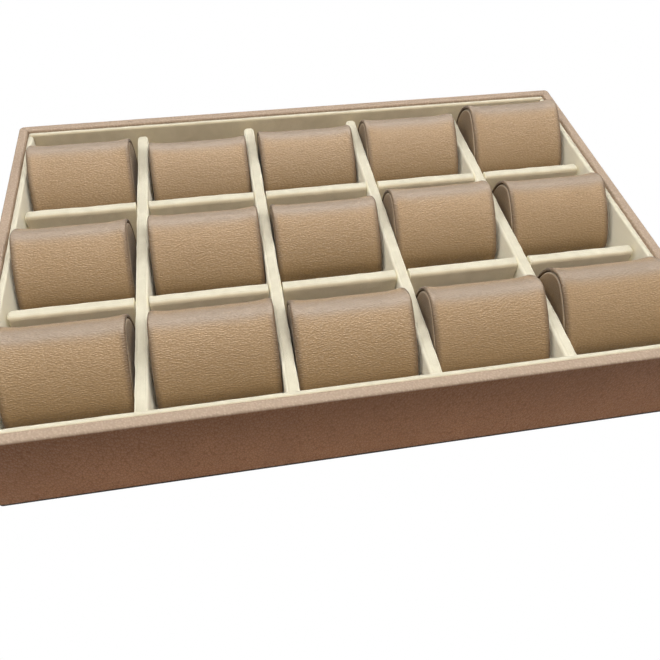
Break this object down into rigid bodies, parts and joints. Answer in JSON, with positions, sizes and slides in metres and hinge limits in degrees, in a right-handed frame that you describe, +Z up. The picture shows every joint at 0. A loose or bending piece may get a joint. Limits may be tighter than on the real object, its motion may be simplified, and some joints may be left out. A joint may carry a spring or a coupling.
{
  "type": "watch tray",
  "caption": "Open rectangular leather-wrapped tray with a cream velvet grid of compartments, each holding a loose leather watch pillow that lifts out.",
  "frame": {"origin": "on the underside of the tray, at the middle of its footprint", "axes": "+X along the tray's width to the right, +Y from the front wall to the back wall, +Z up"},
  "size_m": [0.35, 0.231, 0.0627],
  "materials": {
    "wrap_leather": "brown pebble-grain leatherette, satin",
    "pillow_leather": "taupe-brown fine-grain leatherette, soft satin",
    "velvet": "cream short-pile velvet, matte",
    "board": "bare fibre board, matte",
    "base_felt": "thin brown felt, matte"
  },
  "bodies": {
    "tray": {"wall_frame": "board", "base_board": "board", "leather_wrap": "wrap_leather", "bottom_cover": "base_felt", "lining_front": "velvet", "lining_back": "velvet", "lining_left": "velvet", "lining_right": "velvet", "floor_pad": "velvet", "column_divider_1": "velvet", "column_divider_2": "velvet", "column_divider_3": "velvet", "column_divider_4": "velvet", "row_divider_1": "velvet", "row_divider_2": "velvet"},
    "pillow_row1_col1": {"pillow_row1_col1_roll": "pillow_leather", "pillow_row1_col1_left_cap": "pillow_leather", "pillow_row1_col1_right_cap": "pillow_leather"},
    "pillow_row1_col2": {"pillow_row1_col2_roll": "pillow_leather", "pillow_row1_col2_left_cap": "pillow_leather", "pillow_row1_col2_right_cap": "pillow_leather"},
    "pillow_row1_col3": {"pillow_row1_col3_roll": "pillow_leather", "pillow_row1_col3_left_cap": "pillow_leather", "pillow_row1_col3_right_cap": "pillow_leather"},
    "pillow_row1_col4": {"pillow_row1_col4_roll": "pillow_leather", "pillow_row1_col4_left_cap": "pillow_leather", "pillow_row1_col4_right_cap": "pillow_leather"},
    "pillow_row1_col5": {"pillow_row1_col5_roll": "pillow_leather", "pillow_row1_col5_left_cap": "pillow_leather", "pillow_row1_col5_right_cap": "pillow_leather"},
    "pillow_row2_col1": {"pillow_row2_col1_roll": "pillow_leather", "pillow_row2_col1_left_cap": "pillow_leather", "pillow_row2_col1_right_cap": "pillow_leather"},
    "pillow_row2_col2": {"pillow_row2_col2_roll": "pillow_leather", "pillow_row2_col2_left_cap": "pillow_leather", "pillow_row2_col2_right_cap": "pillow_leather"},
    "pillow_row2_col3": {"pillow_row2_col3_roll": "pillow_leather", "pillow_row2_col3_left_cap": "pillow_leather", "pillow_row2_col3_right_cap": "pillow_leather"},
    "pillow_row2_col4": {"pillow_row2_col4_roll": "pillow_leather", "pillow_row2_col4_left_cap": "pillow_leather", "pillow_row2_col4_right_cap": "pillow_leather"},
    "pillow_row2_col5": {"pillow_row2_col5_roll": "pillow_leather", "pillow_row2_col5_left_cap": "pillow_leather", "pillow_row2_col5_right_cap": "pillow_leather"},
    "pillow_row3_col1": {"pillow_row3_col1_roll": "pillow_leather", "pillow_row3_col1_left_cap": "pillow_leather", "pillow_row3_col1_right_cap": "pillow_leather"},
    "pillow_row3_col2": {"pillow_row3_col2_roll": "pillow_leather", "pillow_row3_col2_left_cap": "pillow_leather", "pillow_row3_col2_right_cap": "pillow_leather"},
    "pillow_row3_col3": {"pillow_row3_col3_roll": "pillow_leather", "pillow_row3_col3_left_cap": "pillow_leather", "pillow_row3_col3_right_cap": "pillow_leather"},
    "pillow_row3_col4": {"pillow_row3_col4_roll": "pillow_leather", "pillow_row3_col4_left_cap": "pillow_leather", "pillow_row3_col4_right_cap": "pillow_leather"},
    "pillow_row3_col5": {"pillow_row3_col5_roll": "pillow_leather", "pillow_row3_col5_left_cap": "pillow_leather", "pillow_row3_col5_right_cap": "pillow_leather"}
  },
  "joints": [
    {"name": "lift_row1_col1", "type": "slide", "parent": "tray", "child": "pillow_row1_col1", "axis": [0, 0, 1], "range_m": [0, 0.06]},
    {"name": "lift_row1_col2", "type": "slide", "parent": "tray", "child": "pillow_row1_col2", "axis": [0, 0, 1], "range_m": [0, 0.06]},
    {"name": "lift_row1_col3", "type": "slide", "parent": "tray", "child": "pillow_row1_col3", "axis": [0, 0, 1], "range_m": [0, 0.06]},
    {"name": "lift_row1_col4", "type": "slide", "parent": "tray", "child": "pillow_row1_col4", "axis": [0, 0, 1], "range_m": [0, 0.06]},
    {"name": "lift_row1_col5", "type": "slide", "parent": "tray", "child": "pillow_row1_col5", "axis": [0, 0, 1], "range_m": [0, 0.06]},
    {"name": "lift_row2_col1", "type": "slide", "parent": "tray", "child": "pillow_row2_col1", "axis": [0, 0, 1], "range_m": [0, 0.06]},
    {"name": "lift_row2_col2", "type": "slide", "parent": "tray", "child": "pillow_row2_col2", "axis": [0, 0, 1], "range_m": [0, 0.06]},
    {"name": "lift_row2_col3", "type": "slide", "parent": "tray", "child": "pillow_row2_col3", "axis": [0, 0, 1], "range_m": [0, 0.06]},
    {"name": "lift_row2_col4", "type": "slide", "parent": "tray", "child": "pillow_row2_col4", "axis": [0, 0, 1], "range_m": [0, 0.06]},
    {"name": "lift_row2_col5", "type": "slide", "parent": "tray", "child": "pillow_row2_col5", "axis": [0, 0, 1], "range_m": [0, 0.06]},
    {"name": "lift_row3_col1", "type": "slide", "parent": "tray", "child": "pillow_row3_col1", "axis": [0, 0, 1], "range_m": [0, 0.06]},
    {"name": "lift_row3_col2", "type": "slide", "parent": "tray", "child": "pillow_row3_col2", "axis": [0, 0, 1], "range_m": [0, 0.06]},
    {"name": "lift_row3_col3", "type": "slide", "parent": "tray", "child": "pillow_row3_col3", "axis": [0, 0, 1], "range_m": [0, 0.06]},
    {"name": "lift_row3_col4", "type": "slide", "parent": "tray", "child": "pillow_row3_col4", "axis": [0, 0, 1], "range_m": [0, 0.06]},
    {"name": "lift_row3_col5", "type": "slide", "parent": "tray", "child": "pillow_row3_col5", "axis": [0, 0, 1], "range_m": [0, 0.06]}
  ]
}
